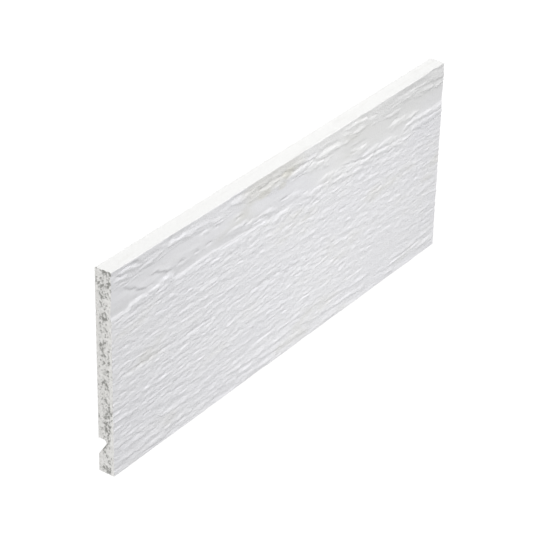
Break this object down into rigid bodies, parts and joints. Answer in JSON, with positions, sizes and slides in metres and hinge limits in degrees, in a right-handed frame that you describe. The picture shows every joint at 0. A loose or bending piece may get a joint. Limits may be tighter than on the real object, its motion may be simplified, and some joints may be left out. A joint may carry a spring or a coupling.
{
  "type": "fascia board",
  "caption": "Flat fascia board with a wood-grain face, square sawn ends and a sloped groove along its back for the edge of a soffit lining.",
  "frame": {"origin": "middle of the back, which lies on the floor", "axes": "+X along the board, +Y from the grooved bottom edge to the top edge, +Z out of the wood-grain face"},
  "size_m": [0.4572, 0.1842, 0.0159],
  "materials": {
    "primed_fibre_cement": "matte"
  },
  "bodies": {
    "root": {"fascia_board": "primed_fibre_cement"}
  },
  "joints": []
}
